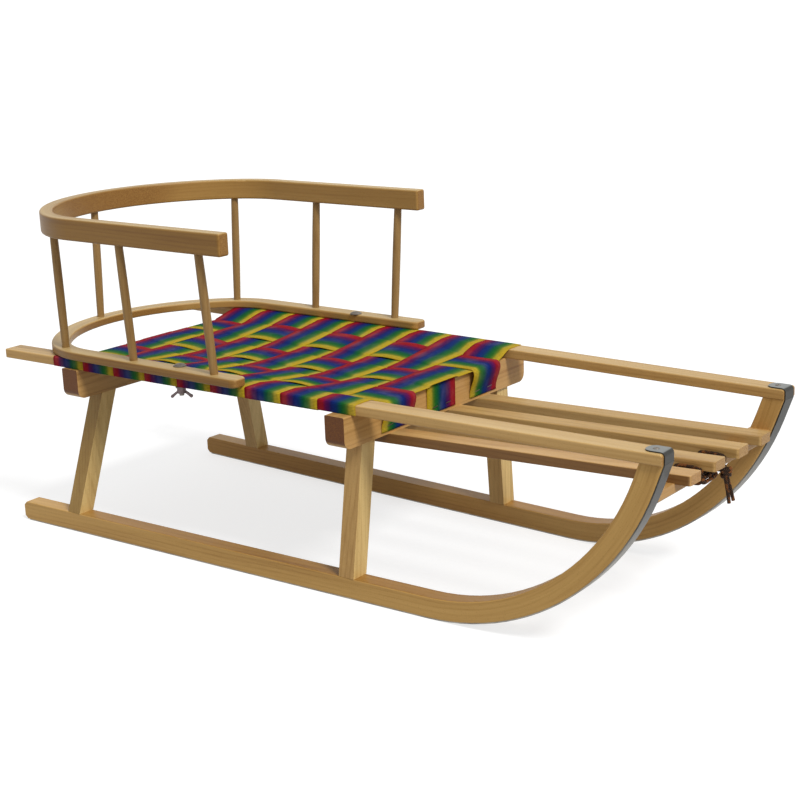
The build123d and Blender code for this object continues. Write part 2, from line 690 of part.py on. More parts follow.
for name, solid in solids.items():
    placed = Pos(shift, 0, 0) * solid
    parts = placed.solids()
    export_step(parts[0] if len(parts) == 1 else Compound(parts), f"parts/{name}.step")
print("pieces", len(solids), "front", round(front_x, 1), "shift", round(shift, 1))
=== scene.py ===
import json
import math
import random
from functools import partial

import bpy
from mathutils import Matrix, Vector

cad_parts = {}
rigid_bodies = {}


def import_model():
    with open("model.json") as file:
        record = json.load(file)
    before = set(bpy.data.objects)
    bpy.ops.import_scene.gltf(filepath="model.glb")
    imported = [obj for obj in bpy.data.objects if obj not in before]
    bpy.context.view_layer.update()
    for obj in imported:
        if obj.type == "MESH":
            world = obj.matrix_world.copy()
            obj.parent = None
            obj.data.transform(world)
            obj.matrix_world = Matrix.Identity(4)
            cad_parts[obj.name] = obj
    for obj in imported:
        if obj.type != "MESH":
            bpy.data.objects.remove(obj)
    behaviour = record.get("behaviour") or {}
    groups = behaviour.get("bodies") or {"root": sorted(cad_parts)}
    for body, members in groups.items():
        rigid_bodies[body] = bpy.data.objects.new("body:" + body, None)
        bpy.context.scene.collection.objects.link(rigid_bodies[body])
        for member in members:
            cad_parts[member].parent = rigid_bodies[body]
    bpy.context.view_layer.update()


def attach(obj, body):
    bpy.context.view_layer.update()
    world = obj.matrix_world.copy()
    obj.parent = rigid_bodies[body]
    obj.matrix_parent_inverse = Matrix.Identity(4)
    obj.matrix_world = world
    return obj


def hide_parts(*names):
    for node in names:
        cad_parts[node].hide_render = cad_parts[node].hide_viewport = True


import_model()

# The sled's own lengths are in millimetres from the rear end of the runners. MM and SHIFT
# bring them to the shared frame, in metres from the middle of the sled's box.
MM = 0.001
SHIFT = -464.5
X, Y, Z = 0, 1, 2
FORWARD, LEFT, RIGHT, UP, DOWN = (1, 0, 0), (0, 1, 0), (0, -1, 0), (0, 0, 1), (0, 0, -1)
SIDES = (("right", -1), ("left", 1))


def at(x, y, z):
    return Vector(((x + SHIFT) * MM, y * MM, z * MM))


# ---------------------------------------------------------------- camera
# Angles, focal length and place are those that fit the photo.
YAW, PITCH, ROLL = math.radians(38.227), math.radians(-15.276), math.radians(-2.073)
FOCAL_PIXELS, PICTURE_PIXELS = 1565.475, 800.0
SENSOR_WIDTH = 36.0
CAMERA_PLACE = (1.18314, -1.45027, 0.69783)

forward = Vector((-math.sin(YAW) * math.cos(PITCH), math.cos(YAW) * math.cos(PITCH),
                  math.sin(PITCH)))
level_right = Vector((math.cos(YAW), math.sin(YAW), 0.0))
level_up = level_right.cross(forward)
rolled_right = level_right * math.cos(ROLL) + level_up * math.sin(ROLL)
rolled_up = level_up * math.cos(ROLL) - level_right * math.sin(ROLL)
camera_data = bpy.data.cameras.new("camera")
camera_data.sensor_fit = "HORIZONTAL"
camera_data.sensor_width = SENSOR_WIDTH
camera_data.lens = SENSOR_WIDTH * FOCAL_PIXELS / PICTURE_PIXELS
camera_data.clip_start = 0.05
camera_data.clip_end = 100.0
camera = bpy.data.objects.new("camera", camera_data)
bpy.context.scene.collection.objects.link(camera)
camera_turn = Matrix((rolled_right, rolled_up, -forward)).transposed().to_4x4()
camera.matrix_world = Matrix.Translation(Vector(CAMERA_PLACE)) @ camera_turn
bpy.context.scene.camera = camera
bpy.context.scene.view_settings.view_transform = "Standard"


# ---------------------------------------------------------------- node helper
class Nodes:
    """Short calls for a material's node tree. A value may be a number or a socket."""

    def __init__(self, name):
        self.material = bpy.data.materials.new(name)
        self.material.use_nodes = True
        self.tree = self.material.node_tree
        self.tree.nodes.clear()
        self.out = self.tree.nodes.new("ShaderNodeOutputMaterial")
        self.shader = self.tree.nodes.new("ShaderNodeBsdfPrincipled")
        self.tree.links.new(self.shader.outputs[0], self.out.inputs[0])

    def put(self, socket, value):
        if isinstance(value, bpy.types.NodeSocket):
            self.tree.links.new(value, socket)
        else:
            socket.default_value = value

    def math(self, kind, a, b=0.0):
        n = self.tree.nodes.new("ShaderNodeMath")
        n.operation = kind
        for socket, value in zip(n.inputs, (a, b)):
            self.put(socket, value)
        return n.outputs[0]

    def add(self, a, b):
        return self.math("ADD", a, b)

    def sub(self, a, b):
        return self.math("SUBTRACT", a, b)

    def mul(self, a, b):
        return self.math("MULTIPLY", a, b)

    def div(self, a, b):
        return self.math("DIVIDE", a, b)

    def greater(self, a, b):
        return self.math("GREATER_THAN", a, b)

    def sine(self, a):
        return self.math("SINE", a)

    def hypot(self, a, b):
        return self.math("SQRT", self.add(self.mul(a, a), self.mul(b, b)))

    def centred(self, value, factor):
        """A noise round 0.5 as a noise round 0, times the factor."""
        return self.mul(self.sub(value, 0.5), factor)

    def mix(self, f, a, b):
        """Number a where f is 0, b where it is 1."""
        return self.add(a, self.mul(f, self.sub(b, a)))

    def step(self, value, low, high, to_low=0.0, to_high=1.0):
        n = self.tree.nodes.new("ShaderNodeMapRange")
        n.interpolation_type = "SMOOTHSTEP"
        for socket, v in zip(n.inputs, (value, low, high, to_low, to_high)):
            self.put(socket, v)
        return n.outputs[0]

    def xyz(self, vector):
        n = self.tree.nodes.new("ShaderNodeSeparateXYZ")
        self.put(n.inputs[0], vector)
        return n.outputs[0], n.outputs[1], n.outputs[2]

    def join(self, x, y, z):
        n = self.tree.nodes.new("ShaderNodeCombineXYZ")
        for socket, v in zip(n.inputs, (x, y, z)):
            self.put(socket, v)
        return n.outputs[0]

    def scaled(self, vector, factors, offset=(0.0, 0.0, 0.0)):
        n = self.tree.nodes.new("ShaderNodeVectorMath")
        n.operation = "MULTIPLY_ADD"
        for socket, v in zip(n.inputs, (vector, factors, offset)):
            self.put(socket, v)
        return n.outputs[0]

    def place(self):
        return self.tree.nodes.new("ShaderNodeTexCoord").outputs["Object"]

    def facing(self, direction, low, high):
        """0 to 1 as the surface turns towards the direction."""
        dot = self.tree.nodes.new("ShaderNodeVectorMath")
        dot.operation = "DOT_PRODUCT"
        self.put(dot.inputs[0], self.tree.nodes.new("ShaderNodeNewGeometry").outputs["Normal"])
        dot.inputs[1].default_value = direction
        return self.step(dot.outputs["Value"], low, high)

    def noise(self, vector, detail=3.0, rough=0.55, distortion=0.0):
        n = self.tree.nodes.new("ShaderNodeTexNoise")
        self.put(n.inputs["Vector"], vector)
        n.inputs["Scale"].default_value = 1.0
        n.inputs["Detail"].default_value = detail
        n.inputs["Roughness"].default_value = rough
        n.inputs["Distortion"].default_value = distortion
        return n.outputs["Fac"]

    def cells(self, vector):
        n = self.tree.nodes.new("ShaderNodeTexVoronoi")
        self.put(n.inputs["Vector"], vector)
        n.inputs["Scale"].default_value = 1.0
        return n.outputs["Distance"], n.outputs["Color"]

    def ramp(self, value, stops):
        n = self.tree.nodes.new("ShaderNodeValToRGB")
        elements = n.color_ramp.elements
        while len(elements) < len(stops):
            elements.new(0.5)
        # All places first: a colour is set only once its element has its final order.
        for element, (place, _) in zip(elements, stops):
            element.position = place
        for element, (_, colour) in zip(elements, stops):
            element.color = (*colour, 1.0)
        self.put(n.inputs[0], value)
        return n.outputs[0]

    def blend(self, f, a, b, kind="MIX"):
        n = self.tree.nodes.new("ShaderNodeMix")
        n.data_type = "RGBA"
        n.blend_type = kind
        sockets = [s for s in n.inputs if s.type == "RGBA"]
        self.put(n.inputs[0], f)
        for socket, v in zip(sockets, (a, b)):
            self.put(socket, v if isinstance(v, bpy.types.NodeSocket) else (*v, 1.0))
        return [s for s in n.outputs if s.type == "RGBA"][0]

    def bump(self, height, distance, strength):
        n = self.tree.nodes.new("ShaderNodeBump")
        n.inputs["Distance"].default_value = distance
        n.inputs["Strength"].default_value = strength
        self.put(n.inputs["Height"], height)
        return n.outputs[0]

    def set(self, name, value):
        self.put(self.shader.inputs[name], value)


def linear(r, g, b):
    """Shader colour of a picture's 8-bit colour."""
    return tuple(((c / 255 + 0.055) / 1.055) ** 2.4 if c > 10 else c / 255 / 12.92
                 for c in (r, g, b))


def tinted(base, factors):
    return tuple(b * f for b, f in zip(base, factors))


# ---------------------------------------------------------------- piece helpers
def place_piece(name, data):
    piece = bpy.data.objects.new(name, data)
    bpy.context.scene.collection.objects.link(piece)
    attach(piece, "root")
    return piece


def mesh_piece(name, verts, faces, material, smooth):
    mesh = bpy.data.meshes.new(name)
    mesh.from_pydata([tuple(v) for v in verts], [], faces)
    mesh.materials.append(material)
    mesh.polygons.foreach_set("use_smooth", [smooth] * len(mesh.polygons))
    mesh.update()
    return place_piece(name, mesh)


def paint(node, material):
    """Give a solid's slots the material."""
    piece = bpy.data.objects[node]
    if not piece.material_slots:
        piece.data.materials.append(material)
    for slot in piece.material_slots:
        slot.material = material


# ---------------------------------------------------------------- wood: direction of the grain
def grain_straight(n, axis, spin=0.0):
    """Along and across the grain of a straight piece, which may lie a few degrees off its axis."""
    x, y, z = n.xyz(n.place())
    if axis == X:
        c, s = math.cos(spin), math.sin(spin)
        return n.add(n.mul(x, c), n.mul(y, s)), n.sub(n.mul(y, c), n.mul(x, s)), z
    if axis == Y:
        return y, z, x
    return z, x, y


# A runner: its turn towards the toe, its middle's place at the rear end, and its bend.
TOE = math.radians(2.2)
RUNNER_Y = 0.1873
BEND_X, BEND_Z, BEND_RADIUS = 0.660, 0.2975, 0.284


def grain_runner(n, side):
    """Along and across the grain of a runner, which follows its bend."""
    x, y, z = n.xyz(n.place())
    cos_toe, sin_toe = math.cos(TOE * side), math.sin(TOE * side)
    dx = n.sub(x, SHIFT * MM)
    dy = n.sub(y, side * RUNNER_Y)
    lx = n.sub(n.mul(dx, cos_toe), n.mul(dy, sin_toe))
    ly = n.add(n.mul(dx, sin_toe), n.mul(dy, cos_toe))
    bx = n.sub(lx, BEND_X)
    bz = n.sub(BEND_Z, z)
    angle = n.math("ARCTAN2", bx, bz)
    bent = n.greater(bx, 0.0)
    along = n.mix(bent, lx, n.add(BEND_X, n.mul(angle, BEND_RADIUS)))
    across = n.mix(bent, z, n.sub(BEND_Z, n.hypot(bx, bz)))
    return along, across, ly


# A bow's middle line, in millimetres: half its width, x of its back, x where its arms bend,
# and its shoulders' radius.
BASE_BOW = (187.9, -20.0, 130.3, 114.6)
TOP_BOW = (198.9, -17.5, 149.6, 129.3)


def grain_bow(n, half, back_x, bend_x, corner):
    """Along and across the grain of a backrest bow: arms, shoulders and the long back arc."""
    depth = bend_x - back_x
    big = (depth**2 + half**2 - 2 * half * corner) / (2 * (depth - corner))
    middle = back_x + big
    swing = math.atan2(half - corner, middle - bend_x)
    x, y, z = n.xyz(n.place())
    px = n.sub(n.div(x, MM), SHIFT)
    py = n.math("ABSOLUTE", n.div(y, MM))
    sx, sy = n.sub(bend_x, px), n.sub(py, half - corner)
    shoulder_turn = n.math("ARCTAN2", sy, sx)
    bx = n.sub(middle, px)
    back_turn = n.math("ARCTAN2", py, bx)
    first = big * swing
    second = first + corner * (math.pi / 2 - swing)
    along_back = n.mul(back_turn, big)
    along_shoulder = n.add(first, n.mul(n.sub(shoulder_turn, swing), corner))
    along_arm = n.add(second, n.sub(px, bend_x))
    across_back = n.sub(n.hypot(bx, py), big)
    across_shoulder = n.sub(n.hypot(sx, sy), corner)
    in_arm = n.greater(px, bend_x)
    past = n.greater(back_turn, swing)
    along = n.mix(in_arm, n.mix(past, along_back, along_shoulder), along_arm)
    across = n.mix(in_arm, n.mix(past, across_back, across_shoulder), n.sub(py, half))
    return n.mul(n.mul(along, MM), n.math("SIGN", y)), n.mul(across, MM), z


# ---------------------------------------------------------------- wood: material
# What each mark in the wood leaves of its base colour.
LATE_WOOD, PALE_WOOD = (0.66, 0.57, 0.46), (1.20, 1.27, 1.42)
RAY_FLECK, HEART_STREAK, PIN_KNOT = (0.42, 0.32, 0.22), (0.62, 0.47, 0.33), (0.30, 0.20, 0.13)
END_PORES, END_WOOD = (0.60, 0.50, 0.40), (0.95, 0.90, 0.85)
RING_PHASE = 1300.0                    # of the ring lines' sine, in radians per metre
WOOD_ROUGHNESS = 0.37


def wood(name, base, seed, grain, end_axis=None, contrast=1.0, end_tone=(1.0, 1.0, 1.0),
         painted_light=()):
    """Lacquered beech: broad tone bands, fine fibres, ring lines and short brown ray flecks.
    Each entry of the last argument is a painted light or a painted shade: (direction, low, high,
    factors), with (axis, start, full) after it where only a part of the piece is meant: faces
    turned that way take the factors."""
    n = Nodes(name)
    along, across, deep = grain(n)
    rng = random.Random(seed)
    offset = tuple(rng.uniform(-20, 20) for _ in range(3))
    g = n.join(along, across, deep)

    def drawn(long, wide, shift=offset):
        """The place in the wood, scaled by its repeats per metre along and across the grain."""
        return n.scaled(g, (long, wide, wide), shift)

    wander = n.noise(drawn(3.0, 9.0), detail=1.0)
    broad = n.noise(drawn(1.7, 46.0), distortion=0.3)
    fine = n.noise(drawn(9.0, 380.0), rough=0.6)
    fibre = n.noise(drawn(60.0, 2300.0), detail=2.0)
    # Ring lines: cylinders round an axis outside the piece, tilted a little to the grain.
    tilt = rng.uniform(0.010, 0.022) * rng.choice((-1, 1))
    ring_x = n.add(n.add(across, rng.uniform(0.03, 0.08)), n.mul(along, tilt))
    ring_y = n.add(deep, rng.uniform(-0.05, 0.05))
    ring = n.add(n.mul(n.hypot(ring_x, ring_y), RING_PHASE), n.mul(wander, 16.0))
    late = n.math("POWER", n.add(0.5, n.mul(n.sine(ring), 0.5)), 3.0)
    tone = n.add(n.centred(broad, 1.15 * contrast), n.centred(fine, 0.55 * contrast))
    tone = n.add(tone, n.centred(fibre, 0.28))
    tone = n.sub(n.add(tone, 0.56), n.mul(late, 0.12 * contrast))
    colour = n.ramp(tone, [(0.12, tinted(base, LATE_WOOD)), (0.5, base),
                           (0.88, tinted(base, PALE_WOOD))])
    # Ray flecks, 2 to 3 mm long.
    distance, pick = n.cells(drawn(330.0, 1250.0))
    shown = n.greater(n.xyz(pick)[0], 0.62)
    flecks = n.mul(n.step(distance, 0.34, 0.12), n.mul(shown, 0.42))
    colour = n.blend(flecks, colour, tinted(base, RAY_FLECK))
    # A few brown heart streaks and pin knots.
    streak = n.noise(drawn(4.2, 120.0, (offset[1], offset[2], offset[0])), detail=2.0)
    heart = n.step(streak, 0.66, 0.80, 0.0, 0.55 * contrast)
    colour = n.blend(heart, colour, tinted(base, HEART_STREAK))
    distance, pick = n.cells(drawn(5.5, 30.0))
    pin = n.mul(n.step(distance, 0.085, 0.03), n.greater(n.xyz(pick)[1], 0.70))
    colour = n.blend(n.mul(pin, 0.8), colour, tinted(base, PIN_KNOT))
    if end_axis is not None:
        back = tuple(-v for v in end_axis)
        end = n.add(n.facing(end_axis, 0.80, 0.95), n.facing(back, 0.80, 0.95))
        pores = n.step(n.noise(drawn(900.0, 900.0), detail=2.0), 0.35, 0.70)
        # For the bars, end_tone holds painted shade as well as the end grain's darker tone.
        end_base = tinted(base, end_tone)
        cut = n.blend(pores, tinted(end_base, END_PORES), tinted(end_base, END_WOOD))
        colour = n.blend(end, colour, cut)
    for direction, low, high, factors, *where in painted_light:
        share = n.facing(direction, low, high)
        for axis, start, full in where:
            share = n.mul(share, n.step(n.xyz(n.place())[axis], start, full))
        colour = n.blend(share, colour, factors, "MULTIPLY")
    n.set("Base Color", colour)
    n.set("Roughness", n.add(WOOD_ROUGHNESS, n.mul(fine, 0.14)))
    n.set("Specular IOR Level", 0.28)
    n.set("Normal", n.bump(n.add(n.mul(fibre, 0.6), n.mul(fine, 0.4)), 0.00012, 0.6))
    return n.material


# ---------------------------------------------------------------- wood: tones and pieces
BEECH = (0.52, 0.310, 0.105)
BEECH_BOW = (0.37, 0.200, 0.051)
BEECH_SPINDLE = (0.30, 0.172, 0.056)
# The second colour darkens the bars' end faces: the end grain's own darker tone, deepened with
# painted shade from the rails above the bolsters' ends.
BEECH_BAR, BAR_END_GRAIN_AND_SHADE = (0.47, 0.260, 0.082), (0.40, 0.25, 0.07)
RUNNER_TONES = ((0.52, 0.300, 0.086), (0.54, 0.312, 0.096))      # right, left
SLAT_TONES = ((0.48, 0.300, 0.110), (0.50, 0.310, 0.108), (0.49, 0.302, 0.108),
              (0.56, 0.332, 0.120))    # from the left

# Painted light and shade: differences between faces that the photo shows, as wood() takes
# them in its last argument.
# Painted shade: the runners' up-facing tops darker where the seat's shadow falls, less so towards
# their rear ends.
SHADED_TOP = (UP, 0.60, 0.95, (0.66, 0.58, 0.44), (X, -0.44, -0.30))
# Painted shade: the left runner's right-facing side darker in the sled's shadow, from its middle to
# the rear.
SHADED_LOW = (RIGHT, 0.40, 0.90, (0.88, 0.78, 0.62), (X, 0.22, 0.02))
# Painted highlight: the bows' up-facing tops paler and greyer, as light and sheen from above fall
# on them.
BOW_TOP_HIGHLIGHT = (UP, 0.55, 0.95, (1.25, 1.57, 2.45))
# Painted highlight: the rails' up-facing tops a little paler and greyer.
RAIL_TOP_HIGHLIGHT = (UP, 0.60, 0.95, (1.02, 1.10, 1.22))
# Painted shade: the outward faces of the bows' right arms darker.
SHADED_ARM = (RIGHT, 0.40, 0.90, (0.73, 0.68, 0.56), (Y, -0.09, -0.16))
# Painted light: the legs' forward-facing faces paler, as the key light falls on them.
LIT_FRONT = (FORWARD, 0.60, 0.90, (1.28, 1.48, 1.65))
# Painted shade: the rear right leg's outward side darker, in the shadow of the seat and rail above
# it.
SHADED_LEG_SIDE = (RIGHT, 0.60, 0.90, (0.62, 0.62, 0.50))
# Painted shade: the right slat's outward side much darker, as in the shade under the right rail.
SHADED_SLAT_SIDE = (RIGHT, 0.50, 0.95, (0.40, 0.33, 0.27))

# The side rails: their outer face at both ends, their width and their edges' radii.
RAIL_REAR_X, RAIL_REAR_Y = -9.6, 184.7
RAIL_FRONT_X, RAIL_FRONT_Y = 947.5, 154.5
RAIL_TURN = math.atan((RAIL_REAR_Y - RAIL_FRONT_Y) / (RAIL_FRONT_X - RAIL_REAR_X))
RAIL_WIDTH = 27.5
RAIL_TOP, RAIL_BOTTOM = 236.0, 224.0
EDGE_TOP, EDGE_LOW = 1.5, 1.0

for k, (name, side) in enumerate(SIDES):
    paint(f"runner_{name}",
          wood(f"beech_runner_{name}", RUNNER_TONES[k], 3 + k, partial(grain_runner, side=side),
               FORWARD, painted_light=(SHADED_TOP, SHADED_LOW) if name == "left" else (SHADED_TOP,)))
    paint(f"side_rail_{name}",
          wood(f"beech_rail_{name}", BEECH, 10 + k,
               partial(grain_straight, axis=X, spin=-side * RAIL_TURN), FORWARD,
               painted_light=(RAIL_TOP_HIGHLIGHT,)))
    for j, end in enumerate(("rear", "front")):
        # Painted shade on the rear right leg's outward side only.
        shaded_leg = (SHADED_LEG_SIDE,) if (name, end) == ("right", "rear") else ()
        paint(f"leg_{end}_{name}",
              wood(f"beech_leg_{end}_{name}", BEECH, 20 + 2 * k + j,
                   partial(grain_straight, axis=Z), UP, painted_light=(LIT_FRONT, *shaded_leg)))
for k, node in enumerate(("rear_bolster", "front_bolster", "crossbar")):
    paint(node, wood(f"beech_{node}", BEECH_BAR, 30 + k, partial(grain_straight, axis=Y), LEFT,
                     contrast=1.2, end_tone=BAR_END_GRAIN_AND_SHADE))
for k, (word, bow) in enumerate((("base", BASE_BOW), ("top", TOP_BOW))):
    half, back_x, bend_x, corner = bow
    grain = partial(grain_bow, half=half, back_x=back_x, bend_x=bend_x, corner=corner)
    paint(f"backrest_{word}_bow", wood(f"beech_{word}_bow", BEECH_BOW, 50 + k, grain, FORWARD,
                                       painted_light=(BOW_TOP_HIGHLIGHT, SHADED_ARM)))
for k in range(7):
    paint(f"spindle_{k + 1}", wood(f"beech_spindle_{k + 1}", BEECH_SPINDLE, 60 + k,
                                   partial(grain_straight, axis=Z)))

# The footrest's slats, a little fuller than the solids: edges eased, front corners rounded.
SLAT_HALF = 12.9
SLAT_THICK_FRONT, SLAT_THICK_REAR = 11.0, 12.6
SLAT_CORNER = 3.0
SLAT_EASE_LOW, SLAT_EASE_TOP = 0.6, 1.6
# At either end: x, height of the top, distance between two slats' middles.
SLAT_FRONT = (948.1, 197.75, 54.3)
SLAT_REAR = (539.2, 186.0, 59.2)


def quarter(steps):
    """The angles of a quarter turn, both ends included."""
    return [math.pi / 2 * i / steps for i in range(steps + 1)]


def slat_piece(k, material):
    """Slat k, 0 to 3 from the left: one rounded section, narrowed round the front corners."""
    run = SLAT_FRONT[0] - SLAT_REAR[0]
    stations = [(0.0, 0.0)] + [(run - SLAT_CORNER + SLAT_CORNER * math.sin(a),
                                SLAT_CORNER * (1 - math.cos(a))) for a in quarter(6)]
    section = []
    for side, top in ((-1, False), (1, False), (1, True), (-1, True)):
        ease = SLAT_EASE_TOP if top else SLAT_EASE_LOW
        for a in quarter(4):
            if (side < 0) == top:
                a = math.pi / 2 - a
            section.append((side, top, ease * (1 - math.cos(a)), ease * (1 - math.sin(a))))
    verts, faces = [], []
    for along, narrow in stations:
        f = along / run
        x = SLAT_REAR[0] + along
        top_z = SLAT_REAR[1] + (SLAT_FRONT[1] - SLAT_REAR[1]) * f
        thick = SLAT_THICK_REAR + (SLAT_THICK_FRONT - SLAT_THICK_REAR) * f
        y_mid = (1.5 - k) * (SLAT_REAR[2] + (SLAT_FRONT[2] - SLAT_REAR[2]) * f)
        for side, top, in_y, in_z in section:
            y = y_mid + side * (SLAT_HALF - narrow - in_y)
            verts.append(at(x, y, top_z - in_z if top else top_z - thick + in_z))
    ring = len(section)
    for i in range(len(stations) - 1):
        for j in range(ring):
            a, b = i * ring + j, i * ring + (j + 1) % ring
            faces.append((a, a + ring, b + ring, b))
    faces.append(tuple(range(ring)))
    faces.append(tuple(reversed(range(ring * (len(stations) - 1), ring * len(stations)))))
    piece = mesh_piece(f"slat_board_{k + 1}", verts, faces, material, smooth=False)
    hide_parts(f"slat_{k + 1}")


for k, tone in enumerate(SLAT_TONES):
    slat_piece(k, wood(f"beech_slat_{k + 1}", tone, 40 + k, partial(grain_straight, axis=X),
                       FORWARD, contrast=1.1, painted_light=(SHADED_SLAT_SIDE,) if k == 3 else ()))


# ---------------------------------------------------------------- metal
RUST = (0.16, 0.11, 0.07)
SHOE_HIGH = (0.017, 0.019, 0.019)      # the shoe's front, dull above the snow
SHOE_TAB_HIGHLIGHT = (0.26, 0.27, 0.26)          # its tab on the rail's top: painted highlight on its up-facing face


def steel(name, base, rough, scratch_scale, rust, dull=0.0):
    """Scratched metal with rust spots; with dull, a runner's shoe, worn bright near the snow."""
    n = Nodes(name)
    place = n.place()
    scratches = n.noise(n.scaled(place, scratch_scale))
    cloud = n.noise(n.scaled(place, (38.0, 38.0, 38.0)))
    spots = n.noise(n.scaled(place, (420.0, 420.0, 420.0)), detail=2.0)
    tone = n.add(n.mul(scratches, 0.5), n.mul(cloud, 0.5))
    pale = tuple(min(1.0, c * 1.5) for c in base)
    dark = tuple(c * 0.55 for c in base)
    colour = n.ramp(tone, [(0.30, dark), (0.5, base), (0.72, pale)])
    colour = n.blend(n.step(spots, 0.62, 0.74, 0.0, rust), colour, RUST)
    if dull:
        height = n.xyz(place)[Z]
        colour = n.blend(n.step(height, 0.07, 0.20, 0.0, dull), colour, SHOE_HIGH)
        # Painted highlight: the tab's up-facing top made bright.
        tab = n.mul(n.step(height, 0.20, 0.22), n.facing(UP, 0.80, 0.97))
        colour = n.blend(tab, colour, SHOE_TAB_HIGHLIGHT)
    n.set("Base Color", colour)
    n.set("Metallic", 1.0)
    n.set("Roughness", n.add(rough, n.mul(tone, 0.18)))
    n.set("Normal", n.bump(scratches, 0.00008, 0.5))
    return n.material


EVEN = (300.0, 300.0, 300.0)
shoe_steel = steel("shoe_steel", (0.27, 0.255, 0.225), 0.34, (30.0, 1400.0, 30.0), 0.25, 0.85)
zinc = steel("zinc", (0.20, 0.175, 0.15), 0.38, EVEN, 0.15)
zinc_dull = steel("zinc_dull", (0.15, 0.115, 0.115), 0.42, EVEN, 0.30)
for name, _ in SIDES:
    paint(f"runner_shoe_{name}", shoe_steel)
    paint(f"bolt_{name}", zinc)
    paint(f"wing_nut_{name}", zinc_dull)


# ---------------------------------------------------------------- webbing: material
STRIPES = (                            # place over the strap's width, colour
    (0.00, linear(176, 28, 36)),
    (0.15, linear(164, 24, 42)),
    (0.19, linear(134, 18, 66)),
    (0.24, linear(98, 20, 86)),
    (0.31, linear(74, 22, 92)),
    (0.37, linear(28, 32, 106)),
    (0.44, linear(18, 46, 124)),
    (0.52, linear(14, 56, 112)),
    (0.58, linear(10, 80, 82)),
    (0.65, linear(16, 100, 52)),
    (0.73, linear(46, 114, 38)),
    (0.80, linear(106, 134, 40)),
    (0.86, linear(196, 174, 50)),
    (1.00, linear(212, 176, 42)),
)
RIB_PITCH = 0.0017
THREADS_ACROSS = 31.25


def webbing():
    """Rainbow webbing: stripes along it, ribs across it. The map's u runs over the width from
    0 to 1, its v along the strap in metres."""
    n = Nodes("webbing_rainbow")
    uv = n.tree.nodes.new("ShaderNodeUVMap")
    uv.uv_map = "strap"
    u, v, _ = n.xyz(uv.outputs[0])
    rib = n.mul(v, 1.0 / RIB_PITCH)
    rib_wave = n.sine(n.mul(rib, 2 * math.pi))
    half_rib = n.math("FLOOR", n.mul(rib, 2.0))
    odd = n.math("MODULO", n.math("ABSOLUTE", half_rib), 2.0)
    thread = n.add(n.mul(u, THREADS_ACROSS), n.mul(odd, 0.5))
    thread_wave = n.sine(n.mul(thread, 2 * math.pi))
    frayed = n.noise(n.join(n.mul(v, 700.0), n.mul(u, 9.0), 0.0), detail=2.0)
    shifted = n.add(n.add(u, n.centred(odd, 0.012)), n.centred(frayed, 0.02))
    colour = n.ramp(shifted, STRIPES)
    relief = n.add(n.mul(rib_wave, n.add(0.10, n.mul(thread_wave, 0.12))),
                   n.centred(frayed, 0.30))
    # Painted shade: darker in the hollows between the ribs and threads, with a random fray mixed
    # in.
    colour = n.blend(n.step(relief, -0.24, 0.24, 0.58, 0.0), colour, (0.0, 0.0, 0.0))
    faded = n.noise(n.join(n.mul(v, 30.0), n.mul(u, 3.0), 1.0), detail=2.0)
    colour = n.blend(n.step(faded, 0.45, 0.75, 0.0, 0.05), colour, (0.7, 0.6, 0.6))
    n.set("Base Color", colour)
    n.set("Roughness", 0.70)
    n.set("Specular IOR Level", 0.06)
    height = n.add(n.mul(n.math("ABSOLUTE", rib_wave), 0.7),
                   n.mul(n.mul(rib_wave, thread_wave), 0.3))
    n.set("Normal", n.bump(height, 0.00030, 0.75))
    return n.material


webbing_material = webbing()

# ---------------------------------------------------------------- webbing: straps
T = 1.05                               # a strap's thickness
SKIN = T / 2 + 0.02                    # from what it lies on to its middle
CROSS_WIDTH, LONG_WIDTH = 54.0, 56.5
CROSS_PITCH = 54.4375
CROSS_X = [110.5 + CROSS_PITCH * i for i in range(9)]
LONG_Y = [87.0, 0.0, -87.0]
BOLSTER_BACK, BOLSTER_FACE = 102.5, 567.2
BACK_GAP, FACE_GAP = 0.2, 0.25         # between a bolster's outer face and the strap on it
COLUMNS = 12                           # mesh columns over a strap's width
CROSS_STEPS, LONG_STEPS = 104, 190     # rows of the mesh in the weave
WOVEN_Z = 226.1                        # the weave's middle where it lies on the bolsters
HANG = 14.5                            # how far the free seat's middle hangs under the rails
FREE_REAR, FREE_FRONT = (128, 215), (455, 542)     # x over which the free seat sets in
ON_RAIL = 1.0                          # from a rail's inner edge to where a cross strap leaves it
UNDER_RAIL = 14.0                      # length of a cross strap's ends under the rails
FOOT = 190.0                           # height of the long straps' ends on the bolsters
LIFT = 1.2                             # how far a strap's edge lies over or under the weave
SWELL = 0.9                            # how much more its middle rises or falls in the free seat
LAP = 0.72                             # how far a cross strap's rear edge tilts up, its front down
EDGE_SHARE = 0.72                      # share of a strap's thickness left at its edges
CROWN_CROSS, CROWN_LONG = 0.45, 0.35   # how far a strap's middle stands over its edges
CHANGE = (25.0, 30.5)                  # off a long strap's middle: a cross strap changes side
LAPPED = (26.0, 29.5)                  # and sets in to lap over the one behind it
FREE_Y = (112, 142)                    # y over which it comes to its place on the rail
SMOOTH_RISE = 0.35                     # how smooth, 0 to 1, it rises from the field to the rail


def rail_out(x):
    return RAIL_REAR_Y - math.tan(RAIL_TURN) * (x - RAIL_REAR_X)


def rail_in(x):
    return rail_out(x) - RAIL_WIDTH / math.cos(RAIL_TURN)


def smooth_share(f):
    return f * f * (3 - 2 * f)


def smooth(value, low, high):
    return smooth_share(min(1.0, max(0.0, (value - low) / (high - low))))


def slack(x):
    """0 over the bolsters, 1 in the free middle of the seat."""
    return smooth(x, *FREE_REAR) * smooth(-x, -FREE_FRONT[1], -FREE_FRONT[0])


